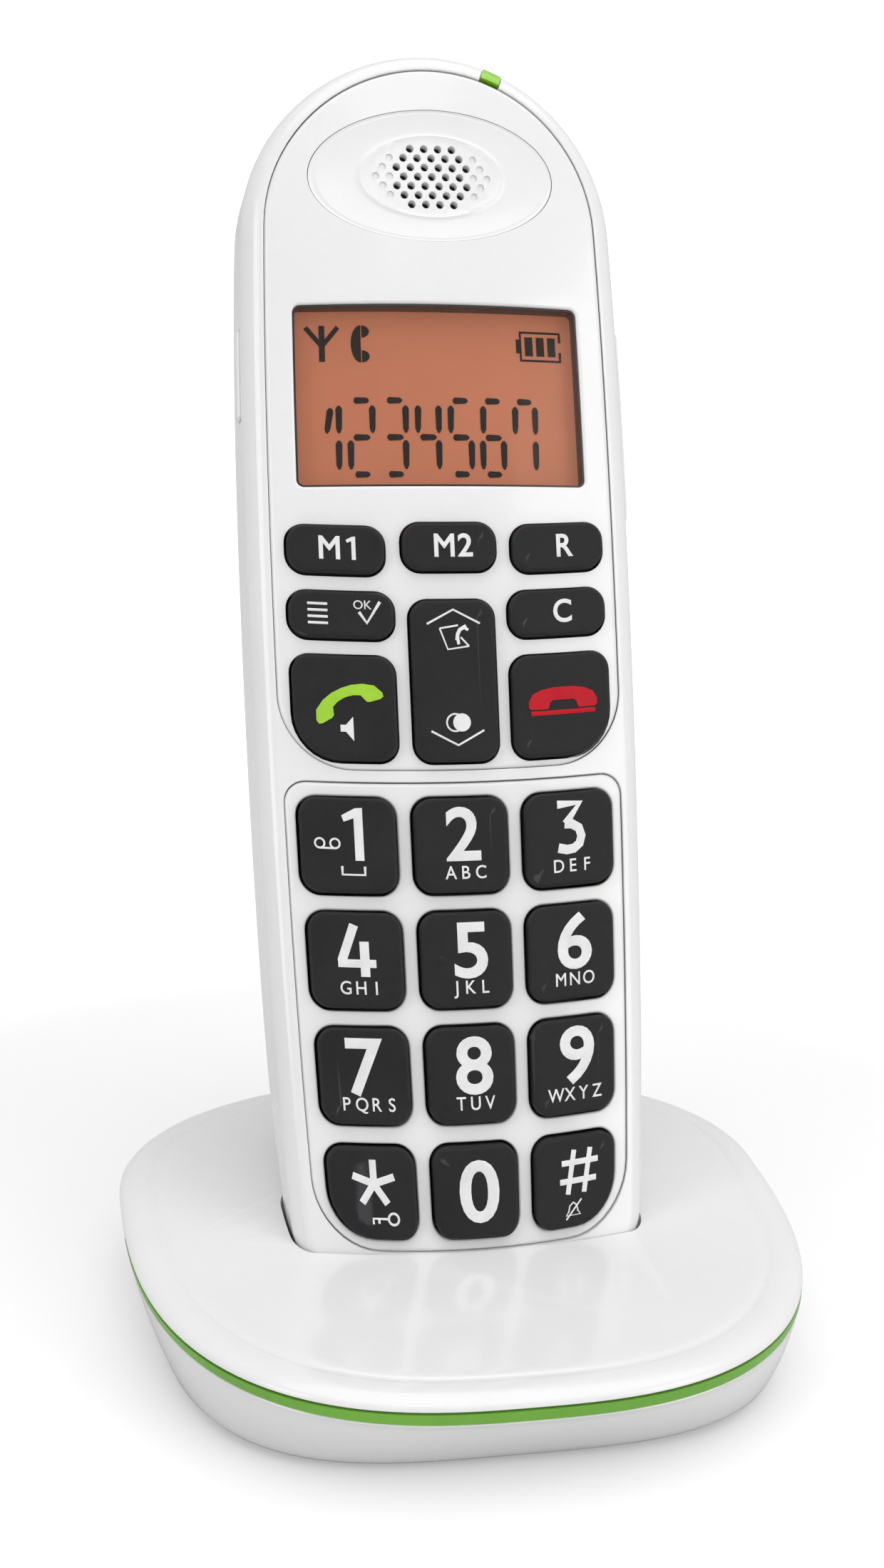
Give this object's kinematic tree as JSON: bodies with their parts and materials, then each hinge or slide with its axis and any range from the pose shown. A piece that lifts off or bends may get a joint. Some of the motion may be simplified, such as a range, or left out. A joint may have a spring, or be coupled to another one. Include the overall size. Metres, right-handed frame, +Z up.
{
  "type": "cordless phone with base",
  "caption": "Cordless telephone handset with large keys, amber display and earpiece grille, standing in a low oval charging base with a thin accent strip.",
  "frame": {"origin": "on the table surface, under the centre of the object's overall box", "axes": "+Z up; the phone faces -Y; +X is to the right for someone facing it"},
  "size_m": [0.0894, 0.1084, 0.1609],
  "materials": {
    "white_shell": "gloss",
    "key_rubber": "soft-touch matte",
    "mat_rubber": "matte",
    "green_plastic": "gloss",
    "clear_window": "clear gloss",
    "amber_display": "satin, backlit amber",
    "board": "satin solder mask",
    "black_plastic": "satin",
    "foot_rubber": "matte",
    "cell_sleeve": "shrink film",
    "steel": "nickel plated",
    "gold_contact": "gold plated"
  },
  "bodies": {
    "base": {"base_top_shell": "white_shell", "base_bottom_shell": "white_shell", "base_accent_strip": "green_plastic", "base_foot_1": "foot_rubber", "base_foot_2": "foot_rubber", "base_foot_3": "foot_rubber", "base_foot_4": "foot_rubber", "base_screw_1": "steel", "base_screw_2": "steel", "base_circuit_board": "board", "line_socket": "black_plastic", "power_inlet": "black_plastic"},
    "handset": {"handset_front_shell": "white_shell", "handset_rear_shell": "white_shell", "front_fascia": "white_shell", "keypad_panel": "white_shell", "display_window": "clear_window", "lcd_module": "amber_display", "light_pipe": "green_plastic", "earpiece_speaker": "black_plastic", "microphone": "steel", "ringer_speaker": "black_plastic", "handset_circuit_board": "board", "key_mat": "mat_rubber", "battery_cell_left": "cell_sleeve", "battery_cell_right": "cell_sleeve", "battery_bridge": "steel", "battery_terminal_left": "steel", "battery_terminal_right": "steel", "handset_screw_left": "steel", "handset_screw_right": "steel", "charge_pad_left": "gold_contact", "charge_pad_right": "gold_contact"},
    "key_memory_1": {"key_memory_1": "key_rubber"},
    "key_memory_2": {"key_memory_2": "key_rubber"},
    "key_recall": {"key_recall": "key_rubber"},
    "key_menu_ok": {"key_menu_ok": "key_rubber"},
    "key_clear": {"key_clear": "key_rubber"},
    "key_call": {"key_call": "key_rubber"},
    "key_end": {"key_end": "key_rubber"},
    "key_navigation": {"key_navigation": "key_rubber"},
    "key_1": {"key_1": "key_rubber"},
    "key_2": {"key_2": "key_rubber"},
    "key_3": {"key_3": "key_rubber"},
    "key_4": {"key_4": "key_rubber"},
    "key_5": {"key_5": "key_rubber"},
    "key_6": {"key_6": "key_rubber"},
    "key_7": {"key_7": "key_rubber"},
    "key_8": {"key_8": "key_rubber"},
    "key_9": {"key_9": "key_rubber"},
    "key_star": {"key_star": "key_rubber"},
    "key_0": {"key_0": "key_rubber"},
    "key_hash": {"key_hash": "key_rubber"},
    "volume_rocker": {"volume_rocker": "white_shell"},
    "side_key": {"side_key": "white_shell"},
    "battery_cover": {"battery_cover": "white_shell"},
    "paging_button": {"paging_button": "green_plastic"},
    "charge_contact_left": {"charge_contact_left": "gold_contact"},
    "charge_contact_right": {"charge_contact_right": "gold_contact"}
  },
  "joints": [
    {"name": "handset_lift", "type": "slide", "parent": "base", "child": "handset", "axis": [0, 0.3811, 0.9245], "range_m": [0, 0.06]},
    {"name": "key_memory_1_press", "type": "slide", "parent": "handset", "child": "key_memory_1", "axis": [0, 0.9245, -0.3811], "range_m": [0, 0.0008], "stiffness_N_per_m": 1000},
    {"name": "key_memory_2_press", "type": "slide", "parent": "handset", "child": "key_memory_2", "axis": [0, 0.9245, -0.3811], "range_m": [0, 0.0008], "stiffness_N_per_m": 1000},
    {"name": "key_recall_press", "type": "slide", "parent": "handset", "child": "key_recall", "axis": [0, 0.9245, -0.3811], "range_m": [0, 0.0008], "stiffness_N_per_m": 1000},
    {"name": "key_menu_ok_press", "type": "slide", "parent": "handset", "child": "key_menu_ok", "axis": [0, 0.9245, -0.3811], "range_m": [0, 0.0008], "stiffness_N_per_m": 1000},
    {"name": "key_clear_press", "type": "slide", "parent": "handset", "child": "key_clear", "axis": [0, 0.9245, -0.3811], "range_m": [0, 0.0008], "stiffness_N_per_m": 1000},
    {"name": "key_call_press", "type": "slide", "parent": "handset", "child": "key_call", "axis": [0, 0.9245, -0.3811], "range_m": [0, 0.0008], "stiffness_N_per_m": 1000},
    {"name": "key_end_press", "type": "slide", "parent": "handset", "child": "key_end", "axis": [0, 0.9245, -0.3811], "range_m": [0, 0.0008], "stiffness_N_per_m": 1000},
    {"name": "key_navigation_rock", "type": "hinge", "parent": "handset", "child": "key_navigation", "pos_m": [0, 0.00927, 0.08143], "axis": [1, 0, 0], "range_deg": [-2.5, 2.5], "stiffness_Nm_per_rad": 0.1},
    {"name": "key_1_press", "type": "slide", "parent": "handset", "child": "key_1", "axis": [0, 0.9245, -0.3811], "range_m": [0, 0.0008], "stiffness_N_per_m": 1000},
    {"name": "key_2_press", "type": "slide", "parent": "handset", "child": "key_2", "axis": [0, 0.9245, -0.3811], "range_m": [0, 0.0008], "stiffness_N_per_m": 1000},
    {"name": "key_3_press", "type": "slide", "parent": "handset", "child": "key_3", "axis": [0, 0.9245, -0.3811], "range_m": [0, 0.0008], "stiffness_N_per_m": 1000},
    {"name": "key_4_press", "type": "slide", "parent": "handset", "child": "key_4", "axis": [0, 0.9245, -0.3811], "range_m": [0, 0.0008], "stiffness_N_per_m": 1000},
    {"name": "key_5_press", "type": "slide", "parent": "handset", "child": "key_5", "axis": [0, 0.9245, -0.3811], "range_m": [0, 0.0008], "stiffness_N_per_m": 1000},
    {"name": "key_6_press", "type": "slide", "parent": "handset", "child": "key_6", "axis": [0, 0.9245, -0.3811], "range_m": [0, 0.0008], "stiffness_N_per_m": 1000},
    {"name": "key_7_press", "type": "slide", "parent": "handset", "child": "key_7", "axis": [0, 0.9245, -0.3811], "range_m": [0, 0.0008], "stiffness_N_per_m": 1000},
    {"name": "key_8_press", "type": "slide", "parent": "handset", "child": "key_8", "axis": [0, 0.9245, -0.3811], "range_m": [0, 0.0008], "stiffness_N_per_m": 1000},
    {"name": "key_9_press", "type": "slide", "parent": "handset", "child": "key_9", "axis": [0, 0.9245, -0.3811], "range_m": [0, 0.0008], "stiffness_N_per_m": 1000},
    {"name": "key_star_press", "type": "slide", "parent": "handset", "child": "key_star", "axis": [0, 0.9245, -0.3811], "range_m": [0, 0.0008], "stiffness_N_per_m": 1000},
    {"name": "key_0_press", "type": "slide", "parent": "handset", "child": "key_0", "axis": [0, 0.9245, -0.3811], "range_m": [0, 0.0008], "stiffness_N_per_m": 1000},
    {"name": "key_hash_press", "type": "slide", "parent": "handset", "child": "key_hash", "axis": [0, 0.9245, -0.3811], "range_m": [0, 0.0008], "stiffness_N_per_m": 1000},
    {"name": "volume_rocker_rock", "type": "hinge", "parent": "handset", "child": "volume_rocker", "pos_m": [0.0254, 0.02758, 0.11272], "axis": [0, -0.9245, 0.3811], "range_deg": [-2, 2], "stiffness_Nm_per_rad": 0.1},
    {"name": "side_key_press", "type": "slide", "parent": "handset", "child": "side_key", "axis": [1, 0, 0], "range_m": [0, 0.0005], "stiffness_N_per_m": 1000},
    {"name": "battery_cover_lift", "type": "slide", "parent": "handset", "child": "battery_cover", "axis": [0, 0.9245, -0.3811], "range_m": [0, 0.015]},
    {"name": "paging_button_press", "type": "slide", "parent": "base", "child": "paging_button", "axis": [0, -1, 0], "range_m": [0, 0.0008], "stiffness_N_per_m": 1000},
    {"name": "charge_contact_left_press", "type": "slide", "parent": "base", "child": "charge_contact_left", "axis": [0, 0, -1], "range_m": [0, 0.0008], "stiffness_N_per_m": 500},
    {"name": "charge_contact_right_press", "type": "slide", "parent": "base", "child": "charge_contact_right", "axis": [0, 0, -1], "range_m": [0, 0.0008], "stiffness_N_per_m": 500}
  ]
}
